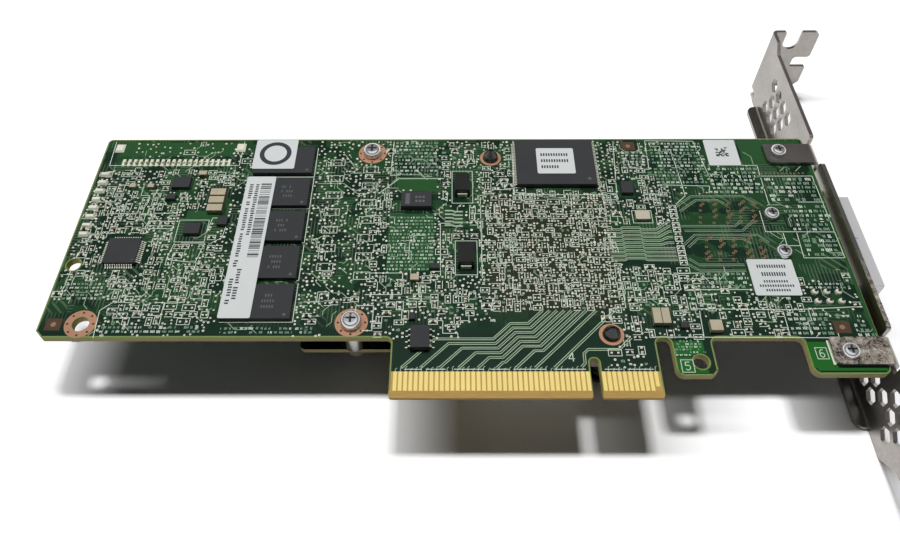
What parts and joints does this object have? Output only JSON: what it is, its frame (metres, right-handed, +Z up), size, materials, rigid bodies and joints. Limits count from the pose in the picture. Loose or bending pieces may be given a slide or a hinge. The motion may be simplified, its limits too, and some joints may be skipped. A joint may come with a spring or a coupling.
{
  "type": "raid controller card",
  "caption": "Low-profile storage controller board with edge connector, cooler, cache daughterboard, double cable port and full-height slotted bracket.",
  "frame": {"origin": "middle of the footprint, on the table, with the card lying solder side up", "axes": "+X from the free end towards the bracket, +Y from the edge connector towards the far edge, +Z up out of the solder face"},
  "size_m": [0.1812, 0.12, 0.0204],
  "materials": {
    "board_mask": "green solder mask, gloss",
    "gold": "gold plated",
    "copper": "bare copper",
    "bracket_nickel": "nickel plated sheet",
    "screw_steel": "bright plated",
    "cage_steel": "nickel plated sheet",
    "housing_black": "moulded",
    "gasket_grey": "conductive cloth over foam",
    "package_green": "laminate",
    "lid_nickel": "nickel plated copper",
    "pad_grey": "soft",
    "sink_aluminium": "extruded",
    "pin_black": "nylon",
    "spring_steel": "drawn wire",
    "standoff_brass": "nickel plated",
    "chip_black": "moulded epoxy",
    "lead_tin": "tinned",
    "ceramic_tan": "fired",
    "crystal_can": "plated can",
    "inductor_grey": "pressed iron powder",
    "can_aluminium": "drawn can",
    "label_paper": "matt printed label",
    "header_ivory": "moulded"
  },
  "bodies": {
    "root": {"main_board": "board_mask", "edge_contacts_front": "gold", "edge_contacts_back": "gold", "ground_rings": "copper", "io_bracket": "bracket_nickel", "bracket_screws": "screw_steel", "bracket_nuts": "screw_steel", "port_cage": "cage_steel", "port_housings": "housing_black", "port_contacts": "gold", "cage_gasket": "gasket_grey", "cage_screws": "screw_steel", "processor_package": "package_green", "processor_lid": "lid_nickel", "thermal_pad": "pad_grey", "heat_sink": "sink_aluminium", "push_pins": "pin_black", "push_pin_springs": "spring_steel", "daughterboard": "board_mask", "standoffs": "standoff_brass", "standoff_screws": "screw_steel", "daughterboard_screws": "screw_steel", "mezzanine_socket": "housing_black", "mezzanine_plug": "housing_black", "flash_chips": "chip_black", "flash_controller": "chip_black", "backup_header": "header_ivory", "backup_header_pins": "lead_tin", "status_header": "housing_black", "status_header_pins": "gold", "service_header": "housing_black", "service_header_pins": "gold", "microcontroller": "chip_black", "microcontroller_leads": "lead_tin", "firmware_flash": "chip_black", "firmware_flash_leads": "lead_tin", "regulator": "chip_black", "regulator_leads": "lead_tin", "tantalum_capacitors": "chip_black", "tantalum_terminals": "lead_tin", "ceramic_capacitors": "ceramic_tan", "small_chips": "chip_black", "sense_resistor": "chip_black", "crystal": "crystal_can", "power_inductors": "inductor_grey", "polymer_capacitors": "can_aluminium", "strip_label": "label_paper", "memory_label": "label_paper", "firmware_label": "label_paper", "square_label": "label_paper", "code_label": "label_paper", "memory_chip_1": "chip_black", "memory_chip_2": "chip_black", "memory_chip_3": "chip_black", "memory_chip_4": "chip_black", "memory_chip_5": "chip_black"}
  },
  "joints": []
}
